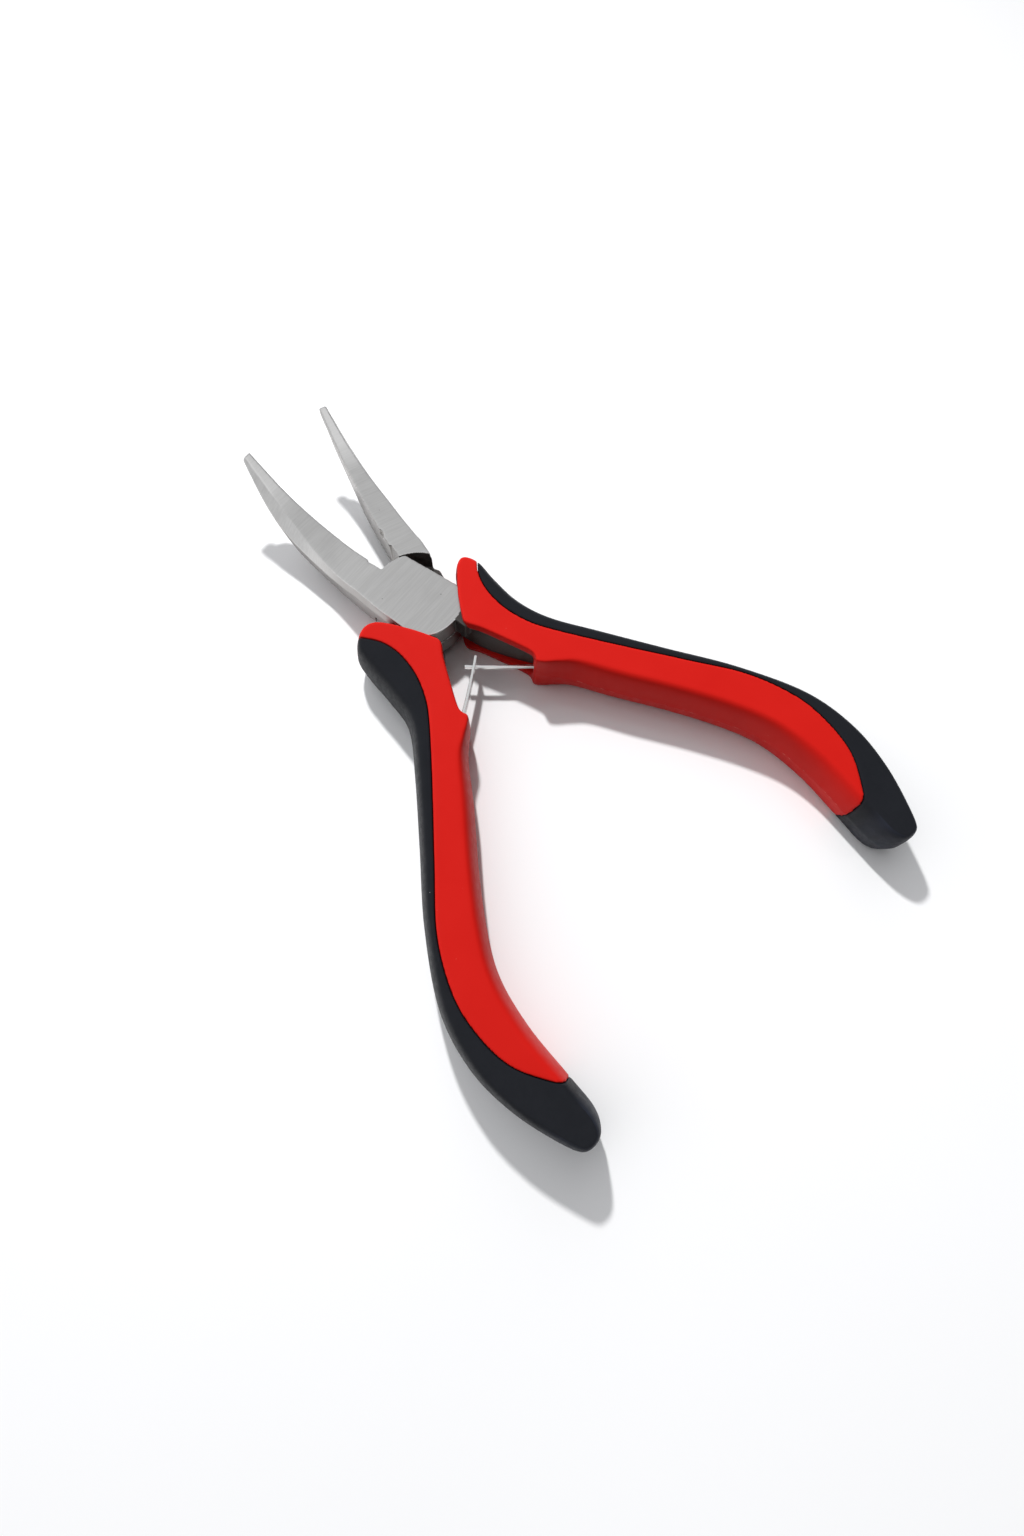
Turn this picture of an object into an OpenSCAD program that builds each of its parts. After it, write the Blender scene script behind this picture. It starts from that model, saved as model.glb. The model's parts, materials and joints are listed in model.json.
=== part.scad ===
// Mini bent-nose pliers with a lap joint, two-colour moulded grips and a pair
// of crossing leaf springs. Each lever is drawn in its closed position, with
// the gripping face of its jaw on the plane x = 0 and its handle on the +X
// side, and is then turned about the pivot to the open rest position. The origin
// is in the rest plane, midway between the tips of the jaws and the ends of the grips.

/* [Overall] */
// Angle between the two gripping faces at rest
open_angle = 22.5; // [16:0.5:24]
// Distance from the pivot to the tips of the jaws
jaw_len = 37; // [34:1:40]
// Thickness of the moulded grips, which lie flat on z = 0
grip_h = 10.6; // [10:0.2:12]

/* [Joint] */
// Radius of the round plates of the lap joint
boss_r = 8; // [7.6:0.1:8.2]
// Height of the underside of the joint above the rest plane
boss_z = 1; // [0.8:0.1:1.2]
// Gap left between faces that slide on each other
slip = 0.06; // [0.04:0.01:0.1]
// Radius of the rivet's shank
rivet_r = 2.4; // [2:0.1:2.8]
// Radius of the rivet's flush head on the underside
head_r = 3.6; // [3.2:0.1:4]

/* [Jaws] */
// Width of the left jaw's flat top at its root
left_root_w = 6.3; // [5.8:0.1:6.3]
// Width of the right jaw's flat top at its root
right_root_w = 5.5; // [5:0.1:6]
// How far the left jaw swells below its flat top, at mid length
left_bulge = 1.5; // [1:0.1:1.6]
// How far the right jaw swells below its flat top, at mid length
right_bulge = 0.3; // [0.2:0.1:1.2]
// Width of a jaw's flat top at its tip
tip_w = 1.3; // [1.2:0.1:2]
// How far the tips rise above the joint
bend_rise = 6.4; // [4:0.2:8]
// Depth of the relief between the jaws next to the joint
relief = 0.4; // [0.2:0.1:0.6]

/* [Grips] */
// How much further the horn of the left grip stands out than that of the right
horn_difference = 2.2; // [0:0.2:2.6]

/* [Springs] */
// Thickness of the spring strip
strip_t = 0.5; // [0.4:0.05:0.6]
// Height of the slotted spring strip
strip_h = 2.6; // [2.4:0.2:3.4]
// Height of the narrow spring strip that passes through the slot
narrow_h = 0.8; // [0.6:0.1:1.4]
// Distance from a spring's pin to the point where the two strips cross
cross_len = 11.2; // [11:0.1:11.6]

/* [Hidden] */
$fn = 72;

half_open = open_angle / 2;
// Distance from the pivot back to the ends of the grips, at rest
back_reach = 84.5;
pivot_y = (back_reach - jaw_len * cos(half_open)) / 2;
boss_top = grip_h - boss_z;
mid_z = grip_h / 2;
clear_r = boss_r + 0.12;
head_h = 1.2;

// Side view of a jaw 37 long: [distance from pivot, height above the joint's top]
// of its upper edge, and [distance, height above the joint's underside] of its
// lower one. A jaw of another length is stretched along Y.
full_len = 37;
tip_thick = 1.2;
jaw_upper = [
    [0, 0], [8.5, 0], [12, -1], [16, -1.5], [21, -1.1], [26.5, 0], [31.5, 2.2], [33, 3.3],
    [full_len, bend_rise]
];
jaw_lower = [
    [0, 0], [20, 0], [23, 0.4], [26, 2.4], [30, 5.6], [33.4, 8.6], [35.4, 11.8], [36.2, 12.2],
    [full_len, boss_top - boss_z + bend_rise - tip_thick]
];
// The gap between the jaws is relieved up to this distance from the pivot
relief_end = 11.5;

// Plan of a grip at its widest level, how much narrower its flat top is than
// that, and the share of horn_difference that each point takes: [x, y, inset, share]
grip_plan = [
    [0.5, -10, 0.4, 0], [1.4, -12.8, 0.4, 0], [2.4, -17, 0.4, 0], [3.4, -21.6, 0.3, 0],
    [3.2, -22.9, 0.3, 0], [2.7, -23.8, 0.3, 0], [3.3, -25.2, 0.5, 0], [4.7, -27.4, 1.2, 0],
    [6.2, -30.2, 2, 0], [8.8, -36.9, 2.3, 0], [12.8, -45.9, 2.3, 0], [16.2, -54.9, 2.3, 0],
    [18, -62.5, 2.2, 0], [17.6, -71, 2.2, 0], [15.7, -80, 2, 0], [14.6, -85.7, 1.7, 0],
    [15.7, -88.9, 1.6, 0], [19, -89.7, 1.8, 0], [21.8, -86.9, 2, 0], [26, -79.6, 2.1, 0],
    [28.5, -71.5, 2.2, 0], [28.5, -62, 2.2, 0], [24.9, -50.1, 2.2, 0], [19.9, -38.7, 2.2, 0],
    [15.3, -28.1, 2.2, 0], [12.1, -20, 2.2, 0.2], [11.9, -14, 2.3, 0.9], [12.8, -8.5, 2.4, 1.1],
    [13.2, -4.1, 1.8, 0.9], [11.3, -1.2, 1.2, 0.4], [8.4, -1.2, 1, 0], [4.4, -4.8, 0.6, 0],
    [1.6, -8.1, 0.4, 0]
];
// Seam between the hard sleeve and the soft overmould
seam_line = [
    [14.5, -1.5], [12, -3.4], [9.5, -5.7], [7.9, -8.8], [7.2, -13], [7.6, -17.5],
    [9, -21.8], [13.2, -31], [19, -43], [23.4, -52.3], [25.3, -60.5],
    [25, -67], [22.8, -73.6], [18.4, -78.6], [15.8, -80.1], [13, -81]
];
// Middle line of the steel tang inside a grip
tang_line = [
    [2.9, -6], [3.6, -12], [5.2, -17], [7.5, -22.5], [9.5, -28], [12.2, -35],
    [15.6, -42.5], [18.8, -50], [21, -57.5], [21.6, -65]
];
tang_w = 3.2;
tang_h = 7.2;
channel_end = -22.7;

spring_pin_at = [4.3, -23.4];
spring_pin_r = 0.5;
eye_r = 0.95;
strip_len = cross_len + 1.7;
slot_half = 1.1;
slot_h = narrow_h + 0.5;

// Direction of a spring in its lever's frame at rest: its strip runs from its
// pin to the centre line of the tool
pin_radius = norm(spring_pin_at);
pin_angle = atan2(spring_pin_at[0], -spring_pin_at[1]) + half_open;
strip_angle = 90 + asin(pin_radius * sin(pin_angle) / cross_len) - half_open;

// A smooth curve through the points of a list, with n steps between points
function spline_at(p0, p1, p2, p3, t) =
    0.5 * (2 * p1 + (p2 - p0) * t + (2 * p0 - 5 * p1 + 4 * p2 - p3) * t * t
    + (3 * p1 - p0 - 3 * p2 + p3) * t * t * t);
function open_spline(p, n) = [
    for (i = [0 : len(p) - 2], k = [0 : n - 1])
        spline_at(p[max(i - 1, 0)], p[i], p[i + 1], p[min(i + 2, len(p) - 1)], k / n),
    p[len(p) - 1]
];
function closed_spline(p, n) = let (m = len(p)) [
    for (i = [0 : m - 1], k = [0 : n - 1])
        spline_at(p[(i + m - 1) % m], p[i], p[(i + 1) % m], p[(i + 2) % m], k / n)
];
function flat(p) = [p[0], p[1]];
function unit(v) = v / norm(v);
// Left-hand normal of a curve at point i
function normal_at(c, i, closed) =
    let (
        m = len(c),
        a = flat(c[closed ? (i + m - 1) % m : max(i - 1, 0)]),
        b = flat(c[closed ? (i + 1) % m : min(i + 1, m - 1)]),
        d = unit(b - a)
    ) [-d[1], d[0]];

// A band of constant width along an open curve
function band(c, w) = concat(
    [for (i = [0 : len(c) - 1]) c[i] + normal_at(c, i, false) * w / 2],
    [for (i = [len(c) - 1 : -1 : 0]) c[i] - normal_at(c, i, false) * w / 2]
);

// End face of a skin with an odd number of points n round it, as a ladder of
// triangles between its two long sides
function ladder(n) = let (h = (n - 1) / 2) concat(
    [for (k = [0 : h - 2]) [h - k, h + 1 + k, h + 2 + k]],
    [for (k = [0 : h - 2]) [h - k, h + 2 + k, h - k - 1]],
    [[1, n - 1, 0]]
);

// Closed skin over a stack of rings that all have the same odd number of points
module skin(rings) {
    n = len(rings[0]);
    m = len(rings);
    last = (m - 1) * n;
    polyhedron(
        points = [for (r = rings) each r],
        faces = concat(
            ladder(n),
            [
                for (j = [0 : m - 2], i = [0 : n - 1])
                    let (a = j * n, k = (i + 1) % n)
                        each [[a + i, a + n + i, a + n + k], [a + i, a + n + k, a + k]]
            ],
            [for (t = ladder(n)) [last + t[2], last + t[1], last + t[0]]]
        )
    );
}

/* Steel levers */

// Width of a jaw's flat top at station s along it
function top_width(s, root_w) =
    tip_w + (root_w - tip_w) * pow(sin(90 * (full_len - s) / (full_len - 4)), 1.25);
// How far the side wall of a jaw stands out past its flat top
function side_bulge(s, extra) =
    0.15 + extra * (0.2 + sin(180 * pow(max(0, (s - 8) / (full_len - 8)), 2)));

// Cross-section of the left jaw: flat top, bevel, side wall, lower bevel
function jaw_ring(s, root_w, extra) =
    let (
        y = s * jaw_len / full_len,
        in_x = s < relief_end ? relief : 0.03,
        w = top_width(s, root_w),
        b = side_bulge(s, extra),
        zt = boss_top + lookup(s, jaw_upper),
        zb = boss_z + lookup(s, jaw_lower),
        h = zt - zb
    ) [
        [-in_x, y, zb],
        [-w * 0.75, y, zb],
        [-w - b * 0.7, y, zb + h * 0.22],
        [-w - b, y, zb + h * 0.42],
        [-w - b, y, zt - min(2, h * 0.3)],
        [-w, y, zt],
        [-in_x, y, zt]
    ];
jaw_stations = [0, 4, 7, 10, 11.4, 11.6, 14, 17, 20, 23, 25, 27, 29, 31, 32.5, 34, 35.2, 36.2, full_len];

module jaw(root_w, extra) {
    skin([for (s = jaw_stations) jaw_ring(s, root_w, extra)]);
}

module tang() {
    translate([0, 0, mid_z - tang_h / 2])
        linear_extrude(tang_h)
            polygon(band(open_spline(tang_line, 3), tang_w));
}

// Flat neck that joins the round plate to the tang, in one half of the joint
module neck(z0, z1) {
    translate([0, 0, z0])
        linear_extrude(z1 - z0)
            polygon([[0.4, 0], [5, 0], [5, -6.4], [3.6, -10.2], [0.4, -10.2]]);
}

// Round plate of the lap joint with its two ground sides, one of them slanting
module boss_plate(z0, z1) {
    intersection() {
        translate([0, 0, z0]) cylinder(r = boss_r, h = z1 - z0);
        translate([0, 0, z0])
            linear_extrude(z1 - z0)
                polygon([[-left_root_w - 0.15, -9], [6.3, -9], [4.1, 9], [-left_root_w - 0.15, 9]]);
    }
}

// One forging: jaw, plate in the half from z0 to z1, and tang. The half from
// cut_z0 to cut_z1 is cleared for the other lever's plate.
module lever(root_w, extra, z0, z1, cut_z0, cut_z1, bore_r) {
    difference() {
        union() {
            difference() {
                union() {
                    jaw(root_w, extra);
                    tang();
                }
                translate([0, 0, cut_z0]) cylinder(r = clear_r, h = cut_z1 - cut_z0);
            }
            boss_plate(z0, z1);
            neck(z0, z1);
        }
        translate([0, 0, -1]) cylinder(r = bore_r, h = grip_h + 2);
    }
}

module at_pivot() { translate([0, pivot_y, 0]) children(); }
module turned_right() { at_pivot() rotate(half_open) children(); }
module turned_left() { at_pivot() rotate(-half_open) mirror([1, 0, 0]) children(); }

module upper_lever() {
    color("silver") turned_right()
        lever(left_root_w, left_bulge, mid_z + slip / 2, boss_top, -1, mid_z + slip / 2, rivet_r);
}

module lower_lever() {
    color("darkgray") difference() {
        turned_left()
            lever(
                right_root_w, right_bulge, boss_z, mid_z - slip / 2,
                mid_z - slip / 2, boss_top + 1, rivet_r + slip
            );
        at_pivot() translate([0, 0, boss_z - 1]) cylinder(r = head_r + slip, h = head_h + 1 + slip);
    }
}

module pivot_rivet() {
    color("gray") at_pivot() translate([0, 0, boss_z]) {
        cylinder(r = head_r, h = head_h);
        cylinder(r = rivet_r, h = boss_top - boss_z);
    }
}

/* Grips */

// Levels of a grip's rings, where 0 is mid height and 1 the flat top. The outer
// two lie past the flat faces, which are cut afterwards.
edge_level = 0.97;
grip_levels = [
    edge_level - 2, -edge_level, -0.9, -0.78, -0.6, -0.35, 0, 0.35, 0.6, 0.78, 0.9,
    edge_level, 2 - edge_level
];
// Share of the inset reached at level v: a sloping wall under a rounded edge,
// carried on straight past the flat face
function roundness(v) =
    abs(v) > 1 ? 2 - roundness(2 - abs(v)) : 0.35 * abs(v) + 0.65 * (1 - pow(1 - pow(abs(v), 3), 1 / 3));

module grip_blank(horn) {
    outline = closed_spline([for (p = grip_plan) [p[0] + p[3] * horn, p[1], p[2]]], 3);
    intersection() {
        skin([
            for (v = grip_levels) [
                for (i = [0 : len(outline) - 1])
                    let (q = flat(outline[i]) + normal_at(outline, i, true) * outline[i][2] * roundness(v))
                        [q[0], q[1], mid_z + v * mid_z]
            ]
        ]);
        translate([-5, -100, 0]) cube([50, 110, grip_h]);
    }
}

// Everything on the outer side of the seam
module overmould_zone() {
    translate([0, 0, -1])
        linear_extrude(grip_h + 2)
            polygon(concat(open_spline(seam_line, 4), [[8, -96], [44, -96], [44, 2]]));
}

// Open side of a sleeve beside the tang, where the spring folds away
module channel() {
    translate([0, 0, mid_z - tang_h / 2])
        linear_extrude(tang_h)
            polygon([
                [-4, -7], [3, -7], [3.4, -13], [5, -18], [6, -21], [6, channel_end],
                [-4, channel_end]
            ]);
}

module spring_pocket() {
    translate([spring_pin_at[0], spring_pin_at[1], mid_z - strip_h / 2 - 0.2])
        cylinder(r = eye_r + 0.2, h = strip_h + 0.4);
    translate([spring_pin_at[0], spring_pin_at[1], 0]) spring_pin();
}

module grip_sleeve(horn, z0, z1) {
    difference() {
        grip_blank(horn);
        overmould_zone();
        translate([0, 0, boss_z - 0.05]) cylinder(r = clear_r + 0.05, h = boss_top - boss_z + 0.1);
        tang();
        neck(z0, z1);
        channel();
        spring_pocket();
    }
}

module grip_overmould(horn) {
    intersection() {
        grip_blank(horn);
        overmould_zone();
    }
}

module right_grip_sleeve() {
    color("red") turned_right() grip_sleeve(-horn_difference / 2, mid_z + slip / 2, boss_top);
}

module left_grip_sleeve() {
    color("red") turned_left() grip_sleeve(horn_difference / 2, boss_z, mid_z - slip / 2);
}

module right_grip_overmould() {
    color("#202228") turned_right() grip_overmould(-horn_difference / 2);
}

module left_grip_overmould() {
    color("#202228") turned_left() grip_overmould(horn_difference / 2);
}

/* Springs */

module spring_pin() {
    translate([0, 0, 1.6]) cylinder(r = spring_pin_r, h = grip_h - 3.2);
}

// A strip of height h with a rolled eye at its pin, drawn along +X from the pin
module strip(h) {
    difference() {
        translate([0, 0, mid_z - h / 2]) {
            cylinder(r = eye_r, h = h);
            translate([0, -strip_t / 2, 0]) cube([strip_len, strip_t, h]);
        }
        cylinder(r = spring_pin_r + 0.04, h = grip_h);
    }
}

// Strip with the slot near its end that the narrow one passes through
module slotted_strip() {
    difference() {
        strip(strip_h);
        translate([cross_len - slot_half - 0.1, -2, mid_z - slot_h / 2]) cube([2 * slot_half, 4, slot_h]);
    }
}

module placed_spring() {
    translate([spring_pin_at[0], spring_pin_at[1], 0]) rotate(strip_angle) children();
}

module right_leaf_spring() { color("gainsboro") turned_right() placed_spring() strip(narrow_h); }

module left_leaf_spring() { color("gainsboro") turned_left() placed_spring() slotted_strip(); }

module right_spring_pin() {
    color("gray") turned_right() translate([spring_pin_at[0], spring_pin_at[1], 0]) spring_pin();
}

module left_spring_pin() {
    color("gray") turned_left() translate([spring_pin_at[0], spring_pin_at[1], 0]) spring_pin();
}

upper_lever();
lower_lever();
pivot_rivet();
right_grip_sleeve();
right_grip_overmould();
left_grip_sleeve();
left_grip_overmould();
right_leaf_spring();
left_leaf_spring();
right_spring_pin();
left_spring_pin();
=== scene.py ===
"""The looks of the mini bent-nose pliers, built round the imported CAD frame.

Each half of the tool is modelled in millimetres as it is when the tool is
closed: the gripping face of its jaw on x = 0 and its handle on the +X side.
It is then turned to the open rest position and scaled to metres.
"""

import json
import math

import bpy
import numpy as np
from mathutils import Matrix, Vector


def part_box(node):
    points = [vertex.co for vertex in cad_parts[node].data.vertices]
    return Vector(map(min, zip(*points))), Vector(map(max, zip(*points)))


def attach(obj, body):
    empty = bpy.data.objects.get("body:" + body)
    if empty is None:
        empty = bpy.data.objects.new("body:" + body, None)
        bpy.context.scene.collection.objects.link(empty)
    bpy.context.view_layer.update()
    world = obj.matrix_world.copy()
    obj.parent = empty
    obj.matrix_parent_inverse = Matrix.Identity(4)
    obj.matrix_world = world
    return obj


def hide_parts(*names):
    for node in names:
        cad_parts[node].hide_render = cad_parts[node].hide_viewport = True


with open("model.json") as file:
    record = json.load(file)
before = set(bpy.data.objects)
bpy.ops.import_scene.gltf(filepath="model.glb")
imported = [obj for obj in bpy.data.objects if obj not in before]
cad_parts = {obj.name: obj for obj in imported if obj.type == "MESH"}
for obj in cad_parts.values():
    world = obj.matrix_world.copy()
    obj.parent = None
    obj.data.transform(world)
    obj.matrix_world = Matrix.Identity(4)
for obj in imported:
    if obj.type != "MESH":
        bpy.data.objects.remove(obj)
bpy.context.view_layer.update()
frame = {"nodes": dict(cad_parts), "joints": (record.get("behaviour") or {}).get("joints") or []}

# --------------------------------------------------------------------------
# Sizes taken from the frame, in millimetres
# --------------------------------------------------------------------------

MM = 0.001
joints = {joint["name"]: joint for joint in frame["joints"]}
half_open = math.radians(-joints["squeeze"]["range_deg"][0]) / 2
pivot = Vector(joints["squeeze"]["pos_m"]) / MM
grip_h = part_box("right_grip_overmould")[1].z / MM
boss_z, boss_top = (corner.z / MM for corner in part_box("pivot_rivet"))
mid_z = grip_h / 2
strip_z0, strip_z1 = (corner.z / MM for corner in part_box("left_leaf_spring"))
narrow_z0, narrow_z1 = (corner.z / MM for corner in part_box("right_leaf_spring"))
pin_world = Vector(joints["right_spring_bend"]["pos_m"]) / MM
pin_at = Matrix.Rotation(-half_open, 3, "Z") @ (pin_world - pivot)

# --------------------------------------------------------------------------
# Shape of one half of the tool, in millimetres
# --------------------------------------------------------------------------

slip = 0.06
boss_r = 8.0
clear_r = 8.12
rivet_r = 2.4
head_r = 3.6
head_h = 1.2
jaw_len = 37.0
tip_w = 1.3
tip_thick = 1.2
bend_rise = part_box("upper_lever")[1].z / MM - boss_top
relief = 0.4
relief_end = 11.5
cross_len = 11.2
strip_len = cross_len + 1.7
strip_t = 0.5
strip_bow = 0.12
eye_r = 0.95
pin_r = 0.5
horn_half = 1.1

# Jaws: width at the root, and how far the outer side bulges
upper_root_w = 6.3
upper_bulge = 1.5
lower_root_w = 5.5
lower_bulge = 0.3
straight_root = 4
taper_power = 1.25
bulge_from = 8
least_bulge = 0.15

# The plates of the joint are discs cut off by this outline
plate_sides = [(-6.45, -9), (6.3, -9), (4.1, 9), (-6.45, 9)]

# Room left round the joint and the spring's eye inside a sleeve
room_gap = 0.15
room_below = 0.3
room_above = 0.2
eye_gap = 0.2
inside_by = 0.01

# Grips: distance of either skin from the seam, how far the whole grip stays inside
# its plan, and the chamfered share of its otherwise rounded edge
seam_gap = 0.05
grip_inset = 0.03
chamfer_share = 0.35

# Voxel size and smoothing passes of the even skins
steel_skin = (0.17, 3)
strip_skin = (0.07, 2)
grip_skin = (0.22, 4)

# Side view of a jaw: distance from the pivot against height above the joint's
# top for the upper edge, and above its underside for the lower edge
jaw_upper = [
    (0, 0), (8.5, 0), (12, -1), (16, -1.5), (21, -1.1), (26.5, 0), (31.5, 2.2), (33, 3.3),
    (jaw_len, bend_rise),
]
jaw_lower = [
    (0, 0), (20, 0), (23, 0.4), (26, 2.4), (30, 5.6), (33.4, 8.6), (35.4, 11.8), (36.2, 12.2),
    (jaw_len, boss_top - boss_z + bend_rise - tip_thick),
]
# Plan of a grip at its widest level: x, y, how much narrower the flat top is,
# and the share of horn_half that the point moves by
grip_plan = [
    (0.5, -10, 0.4, 0), (1.4, -12.8, 0.4, 0), (2.4, -17, 0.4, 0), (3.4, -21.6, 0.3, 0),
    (3.2, -22.9, 0.3, 0), (2.7, -23.8, 0.3, 0), (3.3, -25.2, 0.5, 0), (4.7, -27.4, 1.2, 0),
    (6.2, -30.2, 2, 0), (8.8, -36.9, 2.3, 0), (12.8, -45.9, 2.3, 0), (16.2, -54.9, 2.3, 0),
    (18, -62.5, 2.2, 0), (17.6, -71, 2.2, 0), (15.7, -80, 2, 0), (14.6, -85.7, 1.7, 0),
    (15.7, -88.9, 1.6, 0), (19, -89.7, 1.8, 0), (21.8, -86.9, 2, 0), (26, -79.6, 2.1, 0),
    (28.5, -71.5, 2.2, 0), (28.5, -62, 2.2, 0), (24.9, -50.1, 2.2, 0), (19.9, -38.7, 2.2, 0),
    (15.3, -28.1, 2.2, 0), (12.1, -20, 2.2, 0.2), (11.9, -14, 2.3, 0.9), (12.8, -8.5, 2.4, 1.1),
    (13.2, -4.1, 1.8, 0.9), (11.3, -1.2, 1.2, 0.4), (8.4, -1.2, 1, 0), (4.4, -4.8, 0.6, 0),
    (1.6, -8.1, 0.4, 0),
]
seam_line = [
    (14.5, -1.5), (12, -3.4), (9.5, -5.7), (7.9, -8.8), (7.2, -13), (7.6, -17.5), (9, -21.8),
    (13.2, -31), (19, -43), (23.4, -52.3), (25.3, -60.5), (25, -67), (22.8, -73.6), (18.4, -78.6),
    (15.8, -80.1), (13, -81),
]
tang_line = [
    (2.9, -6), (3.6, -12), (5.2, -17), (7.5, -22.5), (9.5, -28), (12.2, -35), (15.6, -42.5),
    (18.8, -50), (21, -57.5), (21.6, -65),
]
tang_w = 3.2
tang_h = 7.2
neck_plan = [(0.4, 0), (5, 0), (5, -6.4), (3.6, -10.2), (0.4, -10.2)]
channel_plan = [(-4, -7), (3, -7), (3.4, -13), (5, -18), (6, -21), (6, -22.7), (-4, -22.7)]
# Slanted end face of a grip: where it starts on the flat top, and its direction
facet_at = (18.1, -85.4)
facet_heading = (-0.2, -0.98)
facet_slope = 1.15
cut_reach = 14
cut_lift = 6

# --------------------------------------------------------------------------
# Curves and meshes
# --------------------------------------------------------------------------


def smooth_line(points, steps, closed=False):
    """A smooth curve through points, with a number of steps between each two."""
    p = np.array(points, float)
    count = len(p)
    spans = count if closed else count - 1

    def at(i):
        return p[i % count] if closed else p[min(max(i, 0), count - 1)]

    curve = []
    for i in range(spans):
        a, b, c, d = at(i - 1), at(i), at(i + 1), at(i + 2)
        for t in np.arange(steps) / steps:
            bend = (2 * a - 5 * b + 4 * c - d) * t + (3 * b - a - 3 * c + d) * t * t
            curve.append(0.5 * (2 * b + (c - a) * t + bend * t))
    if not closed:
        curve.append(p[-1])
    return np.array(curve)


def normals_of(curve, closed=False):
    """Left-hand normals of a plane curve."""
    xy = curve[:, :2]
    if closed:
        along = np.roll(xy, -1, 0) - np.roll(xy, 1, 0)
    else:
        along = np.gradient(xy, axis=0)
    along /= np.linalg.norm(along, axis=1)[:, None]
    return np.stack([-along[:, 1], along[:, 0]], 1)


def profile(table, s):
    """Height at s on a smooth line through a table, without overshoot."""
    x, y = np.array(table, float).T
    h = np.diff(x)
    d = np.diff(y) / h
    m = np.concatenate([[d[0]], np.zeros(len(d) - 1), [d[-1]]])
    for i in range(1, len(d)):
        if d[i - 1] * d[i] > 0:
            m[i] = 2 * d[i - 1] * d[i] / (d[i - 1] + d[i])
    i = int(np.clip(np.searchsorted(x, s) - 1, 0, len(d) - 1))
    t = (s - x[i]) / h[i]
    return (
        (1 + 2 * t) * (1 - t) ** 2 * y[i]
        + t * (1 - t) ** 2 * h[i] * m[i]
        + t * t * (3 - 2 * t) * y[i + 1]
        + t * t * (t - 1) * h[i] * m[i + 1]
    )


def new_object(name, verts, faces):
    mesh = bpy.data.meshes.new(name)
    mesh.from_pydata([tuple(v) for v in verts], [], faces)
    mesh.validate()
    obj = bpy.data.objects.new(name, mesh)
    bpy.context.scene.collection.objects.link(obj)
    return obj


def skin(name, rings):
    """Closed skin over a stack of rings of the same number of points."""
    n, m = len(rings[0]), len(rings)
    faces = [tuple(range(n)), tuple((m - 1) * n + i for i in reversed(range(n)))]
    for j in range(m - 1):
        for i in range(n):
            k = (i + 1) % n
            faces.append((j * n + i, (j + 1) * n + i, (j + 1) * n + k, j * n + k))
    return new_object(name, np.concatenate(rings), faces)


def prism(name, outline, z0, z1):
    """A plane outline pulled up from z0 to z1."""
    xy = np.array(outline, float)[:, :2]
    area = np.sum(xy[:, 0] * np.roll(xy[:, 1], -1) - np.roll(xy[:, 0], -1) * xy[:, 1])
    if area > 0:
        xy = xy[::-1]
    return skin(name, [np.column_stack([xy, np.full(len(xy), z)]) for z in (z0, z1)])


def circle(radius, at=(0, 0), count=96):
    angle = np.arange(count) * 2 * math.pi / count
    return np.stack([at[0] + radius * np.cos(angle), at[1] + radius * np.sin(angle)], 1)


def band(curve, width):
    """Outline of a strip of constant width along an open curve."""
    side = normals_of(curve) * width / 2
    return np.concatenate([curve[:, :2] + side, (curve[:, :2] - side)[::-1]])


def baked(obj):
    """Applies an object's modifiers to its mesh."""
    graph = bpy.context.evaluated_depsgraph_get()
    mesh = bpy.data.meshes.new_from_object(obj.evaluated_get(graph))
    obj.modifiers.clear()
    old, obj.data = obj.data, mesh
    bpy.data.meshes.remove(old)
    return obj


def carve(obj, tools, keep_common=False):
    """Cuts tools out of obj, or keeps only what obj shares with them."""
    for tool in tools:
        step = obj.modifiers.new("carve", "BOOLEAN")
        step.operation = "INTERSECT" if keep_common else "DIFFERENCE"
        step.solver = "EXACT"
        step.object = tool
        baked(obj)
        bpy.data.objects.remove(tool)
    return obj


def joined(name, parts):
    """One object holding the meshes of several closed parts."""
    verts, faces = [], []
    for part in parts:
        base = len(verts)
        verts += [tuple(v.co) for v in part.data.vertices]
        faces += [tuple(base + i for i in face.vertices) for face in part.data.polygons]
        bpy.data.objects.remove(part)
    return new_object(name, verts, faces)


def moulded(obj, voxel, passes):
    """Turns a part into one even skin with softened edges."""
    remesh = obj.modifiers.new("skin", "REMESH")
    remesh.mode = "VOXEL"
    remesh.voxel_size = voxel
    soften = obj.modifiers.new("soften", "SMOOTH")
    soften.factor = 0.5
    soften.iterations = passes
    baked(obj)
    obj.data.shade_smooth()
    return obj


def placed(obj, side):
    """Turns a finished part of the closed tool to its rest place, in metres."""
    turn = Matrix.Translation(pivot) @ Matrix.Rotation(side * half_open, 4, "Z")
    if side < 0:
        turn = turn @ Matrix.Diagonal((-1, 1, 1, 1))
    obj.data.transform(Matrix.Scale(MM, 4) @ turn)
    if side < 0:
        obj.data.flip_normals()
    return obj


def finished(obj, side, body, node, materials):
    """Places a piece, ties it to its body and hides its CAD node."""
    for material in materials:
        obj.data.materials.append(material)
    placed(obj, side)
    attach(obj, body)
    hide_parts(node)
    return obj


# --------------------------------------------------------------------------
# Materials
# --------------------------------------------------------------------------


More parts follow.
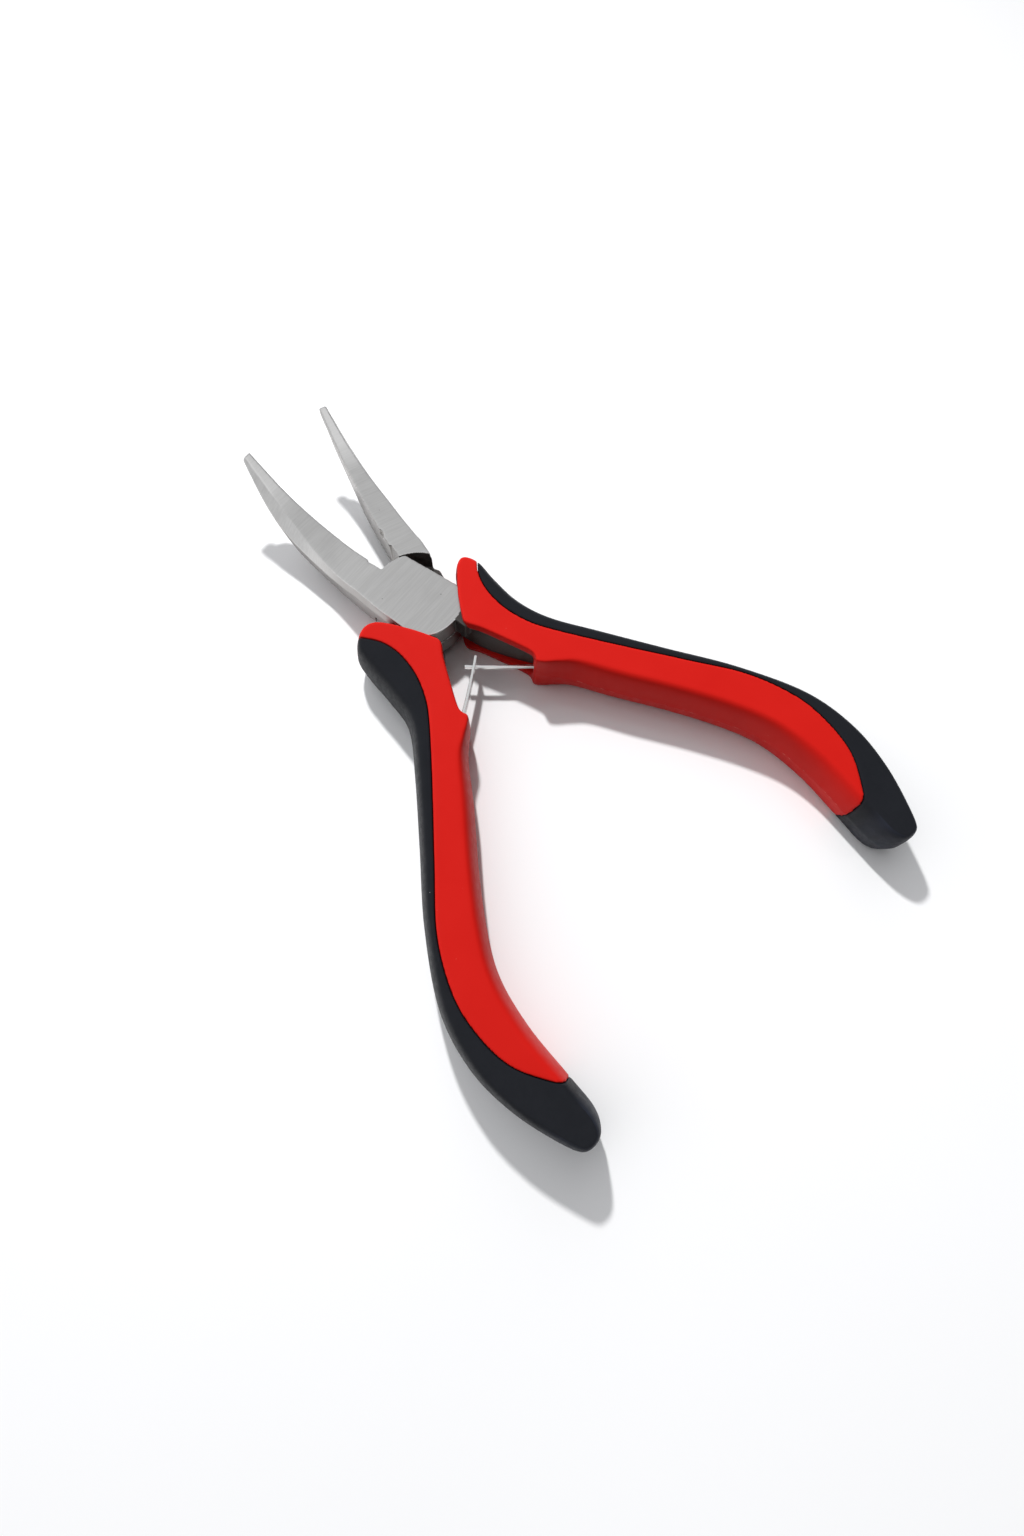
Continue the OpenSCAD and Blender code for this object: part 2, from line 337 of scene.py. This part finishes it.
class Recipe:
    """A node material under construction, with short calls to add its nodes."""

    def __init__(self, name):
        self.material = bpy.data.materials.new(name)
        self.material.use_nodes = True
        self.tree = self.material.node_tree
        self.shader = self.tree.nodes["Principled BSDF"]
        self.place = self.add("ShaderNodeTexCoord").outputs["Object"]
        self.normal = self.add("ShaderNodeNewGeometry").outputs["Normal"]

    def add(self, kind, **settings):
        node = self.tree.nodes.new(kind)
        for key, value in settings.items():
            setattr(node, key, value)
        return node

    def feed(self, socket, value):
        if isinstance(value, bpy.types.NodeSocket):
            self.tree.links.new(value, socket)
        else:
            socket.default_value = value

    def mapped(self, scale, turn=0.0):
        """Object coordinates, turned about Z and scaled along each axis."""
        node = self.add("ShaderNodeMapping", vector_type="TEXTURE")
        self.feed(node.inputs["Vector"], self.place)
        node.inputs["Rotation"].default_value = (0, 0, turn)
        node.inputs["Scale"].default_value = tuple(MM * s for s in scale)
        return node.outputs["Vector"]

    def noise(self, size, detail=3.0, rough=0.5, turn=0.0):
        """Noise whose features are about size millimetres across, per axis."""
        sizes = size if isinstance(size, tuple) else (size, size, size)
        node = self.add("ShaderNodeTexNoise")
        self.feed(node.inputs["Vector"], self.mapped(sizes, turn))
        node.inputs["Scale"].default_value = 1.0
        node.inputs["Detail"].default_value = detail
        node.inputs["Roughness"].default_value = rough
        return node.outputs["Fac"]

    def spots(self, size, radius):
        """Small round dots, 1 inside and 0 outside, one in each cell of a size."""
        node = self.add("ShaderNodeTexVoronoi")
        self.feed(node.inputs["Vector"], self.mapped((size, size, size)))
        node.inputs["Scale"].default_value = 1.0
        return self.ramp(node.outputs["Distance"], radius, radius * 0.5)

    def ramp(self, value, low, high, out_low=0.0, out_high=1.0):
        node = self.add("ShaderNodeMapRange", interpolation_type="SMOOTHSTEP")
        if low > high:
            low, high, out_low, out_high = high, low, out_high, out_low
        self.feed(node.inputs["Value"], value)
        node.inputs["From Min"].default_value = low
        node.inputs["From Max"].default_value = high
        node.inputs["To Min"].default_value = out_low
        node.inputs["To Max"].default_value = out_high
        return node.outputs["Result"]

    def math(self, operation, a, b=0.0):
        node = self.add("ShaderNodeMath", operation=operation)
        self.feed(node.inputs[0], a)
        self.feed(node.inputs[1], b)
        return node.outputs[0]

    def axis(self, vector, name):
        node = self.add("ShaderNodeSeparateXYZ")
        self.feed(node.inputs[0], vector)
        return node.outputs[name]

    def mix(self, share, a, b):
        node = self.add("ShaderNodeMix", data_type="RGBA")
        self.feed(node.inputs[0], share)
        for socket, colour in ((node.inputs[6], a), (node.inputs[7], b)):
            self.feed(socket, colour if isinstance(colour, bpy.types.NodeSocket) else (*colour, 1))
        return node.outputs[2]

    def bump(self, height, depth, before=None):
        """Surface relief of height values, depth millimetres deep."""
        node = self.add("ShaderNodeBump")
        node.inputs["Distance"].default_value = depth * MM
        self.feed(node.inputs["Height"], height)
        if before is not None:
            self.feed(node.inputs["Normal"], before)
        return node.outputs["Normal"]

    def surface(self, **inputs):
        for key, value in inputs.items():
            self.feed(self.shader.inputs[key.replace("_", " ")], value)
        return self.material


def ground_steel(name, turn):
    """Steel ground across the tool, with a fine grain on top and side walls painted darker as shade.
    """
    r = Recipe(name)
    grain = r.noise((3.5, 0.2, 0.5), detail=4, rough=0.6, turn=turn)
    streaks = r.ramp(r.noise((6, 0.28, 1), detail=5, rough=0.6, turn=turn), 0.3, 0.7)
    cloud = r.noise(5.0, detail=4)
    up = r.ramp(r.axis(r.normal, "Z"), 0.1, 0.6)
    flat = r.mix(streaks, (0.585, 0.578, 0.565), (0.655, 0.648, 0.635))
    flat = r.mix(r.ramp(cloud, 0.55, 0.75, 0, 0.3), flat, (0.54, 0.53, 0.52))
    # Painted shade: faces that turn away from straight up get this darker wall colour, and the top
    # gets the lighter ground colour.
    shaded_wall = r.mix(cloud, (0.24, 0.225, 0.21), (0.42, 0.41, 0.4))
    pits = r.math("MULTIPLY", r.spots(2.3, 0.05), r.ramp(cloud, 0.5, 0.6))
    colour = r.mix(pits, r.mix(up, shaded_wall, flat), (0.06, 0.055, 0.05))
    rough = r.math("ADD", r.ramp(streaks, 0.3, 0.7, 0.30, 0.36), r.ramp(cloud, 0.4, 0.8, 0, 0.06))
    relief_map = r.bump(grain, 0.003)
    relief_map = r.bump(r.noise(0.9, detail=5), 0.006, relief_map)
    return r.surface(Base_Color=colour, Metallic=1.0, Roughness=rough, Normal=relief_map)


def shade_painted_steel():
    """Steel painted dark as shade inside the joint and round the tangs."""
    r = Recipe("shade_painted_steel")
    cloud = r.noise(1.2, detail=6, rough=0.6)
    # Painted shade: this dark colour stands in for the shade inside the joint and round the tangs,
    # mottled by the cloud.
    colour = r.mix(cloud, (0.035, 0.034, 0.034), (0.16, 0.15, 0.14))
    relief_map = r.bump(r.noise(0.25, detail=5, rough=0.65), 0.05)
    rough = r.ramp(cloud, 0.3, 0.7, 0.45, 0.65)
    return r.surface(Base_Color=colour, Metallic=0.8, Roughness=rough, Normal=relief_map)


def spring_steel():
    """Bright strip with a fine rolled grain."""
    r = Recipe("spring_steel")
    grain = r.noise((0.06, 0.06, 2.0), detail=3)
    colour = r.mix(grain, (0.78, 0.78, 0.77), (0.92, 0.92, 0.91))
    rough = r.ramp(grain, 0.3, 0.7, 0.16, 0.28)
    return r.surface(Base_Color=colour, Metallic=1.0, Roughness=rough, Normal=r.bump(grain, 0.003))


def rivet_steel():
    """Plain steel with faint turning marks."""
    r = Recipe("rivet_steel")
    turned = r.add("ShaderNodeTexWave", wave_type="RINGS", rings_direction="Z")
    r.feed(turned.inputs["Vector"], r.mapped((1, 1, 1)))
    turned.inputs["Scale"].default_value = 2.4
    turned.inputs["Distortion"].default_value = 0.6
    cloud = r.noise(1.4, detail=4)
    colour = r.mix(cloud, (0.34, 0.335, 0.33), (0.52, 0.515, 0.5))
    relief_map = r.bump(turned.outputs["Fac"], 0.01)
    rough = r.ramp(cloud, 0.3, 0.7, 0.3, 0.45)
    return r.surface(Base_Color=colour, Metallic=1.0, Roughness=rough, Normal=relief_map)


def red_plastic():
    """Semi-matte moulded plastic with a faint mould line at mid height."""
    r = Recipe("red_plastic")
    cloud = r.noise(7.0, detail=3)
    colour = r.mix(cloud, (0.53, 0.0095, 0.0065), (0.58, 0.013, 0.009))
    height = r.math("ABSOLUTE", r.math("SUBTRACT", r.axis(r.place, "Z"), mid_z * MM))
    line = r.ramp(height, 0.09 * MM, 0.03 * MM)
    broken = r.ramp(r.noise((1.3, 1.3, 3.0), detail=4), 0.55, 0.7)
    flash = r.math("MULTIPLY", line, broken)
    colour = r.mix(r.math("MULTIPLY", flash, 0.5), colour, (0.85, 0.45, 0.38))
    dust = r.math("MULTIPLY", r.spots(1.9, 0.035), r.ramp(cloud, 0.55, 0.65))
    colour = r.mix(r.math("MULTIPLY", dust, 0.5), colour, (0.8, 0.3, 0.25))
    relief_map = r.bump(r.noise(0.22, detail=4, rough=0.6), 0.012)
    relief_map = r.bump(line, 0.03, relief_map)
    rough = r.ramp(r.noise(1.1, detail=4), 0.3, 0.7, 0.40, 0.50)
    return r.surface(Base_Color=colour, Roughness=rough, Specular_IOR_Level=0.08, Normal=relief_map)


def black_rubber():
    """Soft elastomer, a little blue, with a painted sheen that makes it greyer where it slants at
    its end.
    """
    r = Recipe("black_rubber")
    cloud = r.noise(4.0, detail=5)
    colour = r.mix(cloud, (0.007, 0.008, 0.0105), (0.011, 0.012, 0.0155))
    slanted = r.ramp(r.axis(r.normal, "Z"), 0.93, 0.86)
    near_end = r.ramp(r.axis(r.place, "Y"), (pivot.y - 76) * MM, (pivot.y - 80) * MM)
    # Painted sheen: faces that slant near the end are coloured greyer and bluer, patchy with the
    # cloud.
    painted_sheen = r.math("MULTIPLY", r.math("MULTIPLY", slanted, near_end), r.ramp(cloud, 0.3, 0.7, 0.4, 1))
    colour = r.mix(r.math("MULTIPLY", painted_sheen, 0.6), colour, (0.026, 0.03, 0.046))
    dust = r.math("MULTIPLY", r.spots(2.6, 0.04), r.ramp(cloud, 0.5, 0.6))
    colour = r.mix(r.math("MULTIPLY", dust, 0.8), colour, (0.6, 0.6, 0.6))
    relief_map = r.bump(r.noise(0.16, detail=5, rough=0.6), 0.02)
    rough = r.ramp(r.noise(0.9, detail=4), 0.3, 0.7, 0.46, 0.58)
    return r.surface(Base_Color=colour, Roughness=rough, Specular_IOR_Level=0.15, Normal=relief_map)


def white_floor():
    """Smooth, pale and slightly glossy board."""
    r = Recipe("white_floor")
    cloud = r.noise(60.0, detail=2)
    colour = r.mix(cloud, (0.90, 0.90, 0.905), (0.915, 0.915, 0.92))
    return r.surface(Base_Color=colour, Roughness=0.12, IOR=1.45)


GROUND_UPPER = ground_steel("ground_steel_upper", half_open)
GROUND_LOWER = ground_steel("ground_steel_lower", -half_open)
SHADE_STEEL = shade_painted_steel()
SPRING = spring_steel()
RIVET = rivet_steel()
RED = red_plastic()
BLACK = black_rubber()

# --------------------------------------------------------------------------
# Steel levers
# --------------------------------------------------------------------------


def jaw(root_w, bulge):
    """The tapered jaw, from the pivot to its upturned tip."""
    stations = np.linspace(0, jaw_len, 150)
    stations = np.sort(np.concatenate([stations, [relief_end - 0.05, relief_end + 0.05]]))
    rings = []
    for s in stations:
        inner = relief if s < relief_end else 0.03
        left = min(1, (jaw_len - s) / (jaw_len - straight_root))
        w = tip_w + (root_w - tip_w) * math.sin(math.pi / 2 * left) ** taper_power
        along = max(0, (s - bulge_from) / (jaw_len - bulge_from))
        b = least_bulge + bulge * (0.2 + math.sin(math.pi * along**2))
        top = boss_top + profile(jaw_upper, s)
        low = boss_z + profile(jaw_lower, s)
        h = top - low
        section = [
            (-inner, low), (-w * 0.75, low), (-w - b * 0.7, low + h * 0.22),
            (-w - b, low + h * 0.42), (-w - b, top - min(2, h * 0.3)), (-w, top), (-inner, top),
        ]
        rings.append(np.array([(x, s, z) for x, z in section]))
    return skin("jaw", rings)


def tang_prism():
    outline = band(smooth_line(tang_line, 6), tang_w)
    return prism("tang", outline, mid_z - tang_h / 2, mid_z + tang_h / 2)


def lever(name, blade, half, other, holes):
    """One forging: a jaw, its half of the joint, and the tang in the grip."""
    plate = prism("plate", circle(boss_r, count=160), *half)
    trim = prism("trim", plate_sides, half[0] - 1, half[1] + 1)
    parts = [carve(plate, [trim], keep_common=True), prism("neck", neck_plan, *half)]
    for part in (blade, tang_prism()):
        parts.append(carve(part, [prism("room", circle(clear_r, count=160), *other)]))
    for part in parts:
        carve(part, [prism("hole", circle(radius), z0, z1) for radius, z0, z1 in holes])
    obj = moulded(joined(name, parts), *steel_skin)
    steel_faces(obj)
    return obj


def steel_faces(obj):
    """Marks the faces inside the joint and behind it for the steel painted dark as shade."""
    for face in obj.data.polygons:
        c, n = face.center, face.normal
        r = math.hypot(c.x, c.y)
        in_recess = r < clear_r + 0.15 and c.z < mid_z + 0.3 and n.z > 0.3
        on_rim = abs(r - clear_r) < 0.25 and c.x * n.x + c.y * n.y < -0.5 * r
        behind = c.y < -7.5 and r > boss_r
        # The faces picked here get the steel painted dark as shade.
        if in_recess or on_rim or behind:
            face.material_index = 1


upper_half = (mid_z + slip / 2, boss_top)
lower_half = (boss_z, mid_z - slip / 2)

# The rivet is ground flush and can't be seen from above, so the upper bore stops short
upper = lever(
    "upper_lever_steel", jaw(upper_root_w, upper_bulge), upper_half, (0, mid_z + slip / 2),
    [(rivet_r + 0.03, 0, boss_top - 0.3)],
)
finished(upper, 1, "right_handle", "upper_lever", [GROUND_UPPER, SHADE_STEEL])

nick_plan = [(-0.38, 14.2), (-0.3, 15.6), (0.2, 15.7), (0.2, 14)]
nick = prism("nick", nick_plan, boss_top - 2.8, boss_top)
lower_jaw = carve(jaw(lower_root_w, lower_bulge), [nick])
lower = lever(
    "lower_lever_steel", lower_jaw, lower_half, (mid_z - slip / 2, boss_top + 1),
    [(rivet_r + slip, 0, boss_top), (head_r + slip, boss_z - 1, boss_z + head_h + slip)],
)
finished(lower, -1, "left_handle", "lower_lever", [GROUND_LOWER, SHADE_STEEL])

# --------------------------------------------------------------------------
# Rivet, springs and their pins
# --------------------------------------------------------------------------


def turned_piece(name, outline, count=96):
    """A solid of revolution about Z from an open outline of (radius, height)."""
    rings = []
    for radius, z in outline:
        rings.append(np.column_stack([circle(radius, count=count), np.full(count, z)]))
    return skin(name, [ring[::-1] for ring in rings])


rivet = turned_piece("rivet", [
    (0.4, boss_z + 0.12), (0.9, boss_z + 0.05), (1.3, boss_z), (head_r - 0.25, boss_z),
    (head_r - 0.08, boss_z + 0.06), (head_r, boss_z + 0.22), (head_r, boss_z + head_h),
    (rivet_r + 0.06, boss_z + head_h), (rivet_r, boss_z + head_h + 0.06), (rivet_r, boss_top - 0.5),
    (rivet_r - 0.2, boss_top - 0.32),
])
finished(rivet, 1, "right_handle", "pivot_rivet", [RIVET])


def strip(name, z0, z1, cuts):
    """A spring strip: rolled eye on its pin, a slight bow and rounded edges."""
    reach = math.hypot(pin_at.x, pin_at.y)
    bearing = math.atan2(pin_at.x, -pin_at.y) + half_open
    angle = math.pi / 2 + math.asin(reach * math.sin(bearing) / cross_len) - half_open
    s = np.linspace(0.6, strip_len, 60)
    line = np.stack([s, strip_bow * np.sin(math.pi * s / cross_len)], 1)
    blade = carve(prism("blade", band(line, strip_t), z0, z1), cuts)
    hole = prism("hole", circle(pin_r + 0.04), 0, grip_h)
    eye = carve(prism("eye", circle(eye_r), z0, z1), [hole])
    obj = moulded(joined(name, [blade, eye]), *strip_skin)
    turn = Matrix.Rotation(angle, 4, "Z")
    obj.data.transform(Matrix.Translation((pin_at.x, pin_at.y, 0)) @ turn)
    return obj


slot = prism("slot", [
    (cross_len - 1.2, -2), (cross_len + 1, -2), (cross_len + 1, 2), (cross_len - 1.2, 2),
], narrow_z0 - 0.25, narrow_z1 + 0.25)
narrow_strip = strip("right_strip", narrow_z0, narrow_z1, [])
finished(narrow_strip, 1, "right_spring", "right_leaf_spring", [SPRING])
slotted_strip = strip("left_strip", strip_z0, strip_z1, [slot])
finished(slotted_strip, -1, "left_spring", "left_leaf_spring", [SPRING])

for name in ("right_spring_pin", "left_spring_pin"):
    pin = frame["nodes"][name]
    pin.data.materials.clear()
    pin.data.materials.append(RIVET)

# --------------------------------------------------------------------------
# Grips
# --------------------------------------------------------------------------


def grip_blank(horn):
    """The whole grip before it is split at the seam."""
    plan = [(x + share * horn, y, inset) for x, y, inset, share in grip_plan]
    outline = smooth_line(plan, 8, closed=True)
    inward = normals_of(outline, closed=True)
    rings = []
    for turn in np.linspace(-math.pi / 2, math.pi / 2, 33):
        v = math.sin(turn)
        rounded = 1 - (1 - abs(v) ** 3) ** (1 / 3)
        share = chamfer_share * abs(v) + (1 - chamfer_share) * rounded
        xy = outline[:, :2] + inward * (grip_inset + outline[:, 2:3] * share)
        rings.append(np.column_stack([xy, np.full(len(xy), mid_z + v * mid_z)]))
    return skin("grip", rings)


def end_cuts():
    """Two slanting blocks that bevel the end of a grip above and below."""
    heading = Vector((*facet_heading, 0)).normalized()
    across = Vector((-heading.y, heading.x, 0))
    start = Vector((*facet_at, 0))
    blocks = []
    for side in (1, -1):
        face = mid_z + side * mid_z
        beyond = face + side * cut_lift
        sunk = face - side * cut_reach * facet_slope
        section = [(0, face), (cut_reach, sunk), (cut_reach, beyond), (0, beyond)]
        rings = []
        for offset in (-cut_reach, cut_reach):
            rings.append(np.array([
                (*(start + heading * d + across * offset).to_2d(), z) for d, z in section
            ]))
        if side > 0:
            rings = rings[::-1]
        blocks.append(skin("end_cut", rings))
    return blocks


def seam_zone(gap):
    """Everything on the outer side of the seam, drawn gap mm away from it."""
    curve = smooth_line(seam_line, 8)
    edge = curve + normals_of(curve) * gap
    return prism("zone", np.concatenate([edge, [(8, -96), (44, -96), (44, 2)]]), -1, grip_h + 1)


def sleeve(horn, half):
    """The hard shell, hollowed for the joint, the lever and the spring's root."""
    room = circle(clear_r + room_gap, count=160)
    deep = tang_h / 2 - inside_by
    return carve(grip_blank(horn), [
        seam_zone(-seam_gap),
        prism("room", room, boss_z - room_below, boss_top + room_above),
        tang_prism(),
        prism("neck", neck_plan, *half),
        prism("channel", channel_plan, mid_z - deep, mid_z + deep),
        prism("pocket", circle(eye_r + eye_gap, pin_at), strip_z0 - eye_gap, strip_z1 + eye_gap),
    ])


def overmould(horn):
    """The soft outer side and end of a grip."""
    blank = carve(grip_blank(horn), end_cuts())
    return carve(blank, [seam_zone(seam_gap)], keep_common=True)


grips = (
    (1, "right", -horn_half, upper_half),
    (-1, "left", horn_half, lower_half),
)
for side, word, horn, half in grips:
    body = word + "_handle"
    hard = moulded(sleeve(horn, half), *grip_skin)
    hard.name = word + "_sleeve_shell"
    finished(hard, side, body, word + "_grip_sleeve", [RED])
    soft = moulded(overmould(horn), *grip_skin)
    soft.name = word + "_overmould_skin"
    finished(soft, side, body, word + "_grip_overmould", [BLACK])

# --------------------------------------------------------------------------
# Floor, light and camera
# --------------------------------------------------------------------------

floor_half = 2.5
floor = new_object("floor", [
    (-floor_half, -floor_half, 0), (floor_half, -floor_half, 0),
    (floor_half, floor_half, 0), (-floor_half, floor_half, 0),
], [(0, 1, 2, 3)])
floor.data.materials.append(white_floor())

# Key lamp behind the right grip, close enough for its shadows to spread. It lights
# everything alike at any distance, and steel doesn't mirror it.
key = bpy.data.lights.new("key", "POINT")
key.energy = 36
key.shadow_soft_size = 0.006
key.use_nodes = True
emission = key.node_tree.nodes["Emission"]
falloff = key.node_tree.nodes.new("ShaderNodeLightFalloff")
falloff.inputs["Strength"].default_value = 1
key.node_tree.links.new(falloff.outputs["Constant"], emission.inputs["Strength"])
key_object = bpy.data.objects.new("key", key)
key_object.visible_glossy = False
key_object.location = (0.048, 0.110, 0.160)
bpy.context.scene.collection.objects.link(key_object)

# White surroundings, darker on the near side, with a bright panel overhead
world = bpy.data.worlds.new("studio")
bpy.context.scene.world = world
world.use_nodes = True
tree = world.node_tree
backdrop = tree.nodes["Background"]
heading = tree.nodes.new("ShaderNodeTexCoord")


def glow(towards, cos_from, cos_to, low, high):
    """Brightness that rises smoothly towards a direction."""
    along = tree.nodes.new("ShaderNodeVectorMath")
    along.operation = "DOT_PRODUCT"
    along.inputs[1].default_value = Vector(towards).normalized()
    tree.links.new(heading.outputs["Generated"], along.inputs[0])
    level = tree.nodes.new("ShaderNodeMapRange")
    level.interpolation_type = "SMOOTHSTEP"
    level.inputs["From Min"].default_value = cos_from
    level.inputs["From Max"].default_value = cos_to
    level.inputs["To Min"].default_value = low
    level.inputs["To Max"].default_value = high
    tree.links.new(along.outputs["Value"], level.inputs["Value"])
    return level.outputs["Result"]


def blend(kind, *values):
    node = tree.nodes.new("ShaderNodeMath")
    node.operation = kind
    for socket, value in zip(node.inputs, values):
        tree.links.new(value, socket)
    return node.outputs[0]


# Matte surfaces are lit mostly from the far side; glossy ones see a wider, paler room
shed = glow((-0.15, 0.9, 0.25), -0.05, 0.85, 0.04, 1.45)
room = glow((-0.7, 0.6, 0.3), -0.8, 1.0, 0.42, 0.85)
seen = blend("ADD", room, glow((0.15, -0.62, 0.76), 0.8, 0.97, 0.0, 0.6))
glossy = tree.nodes.new("ShaderNodeLightPath").outputs["Is Glossy Ray"]
strength = tree.nodes.new("ShaderNodeMix")
tree.links.new(glossy, strength.inputs[0])
tree.links.new(shed, strength.inputs[2])
tree.links.new(seen, strength.inputs[3])
tree.links.new(strength.outputs[0], backdrop.inputs["Strength"])
backdrop.inputs["Color"].default_value = (0.97, 0.98, 1.0, 1)

scene = bpy.context.scene
scene.view_settings.view_transform = "Standard"

camera = bpy.data.cameras.new("camera")
camera.sensor_fit = "AUTO"
camera.sensor_width = 36
camera.lens = 16.406
camera.clip_start = 0.005
camera_object = bpy.data.objects.new("camera", camera)
camera_right = Vector((0.76286, -0.64578, 0.03249))
camera_up = Vector((0.61651, 0.74159, 0.26457))
camera_back = camera_right.cross(camera_up)
camera_turn = Matrix((camera_right, camera_up, camera_back)).transposed().to_4x4()
camera_object.matrix_world = Matrix.Translation((-0.02963, -0.03055, 0.11852)) @ camera_turn
scene.collection.objects.link(camera_object)
scene.camera = camera_object
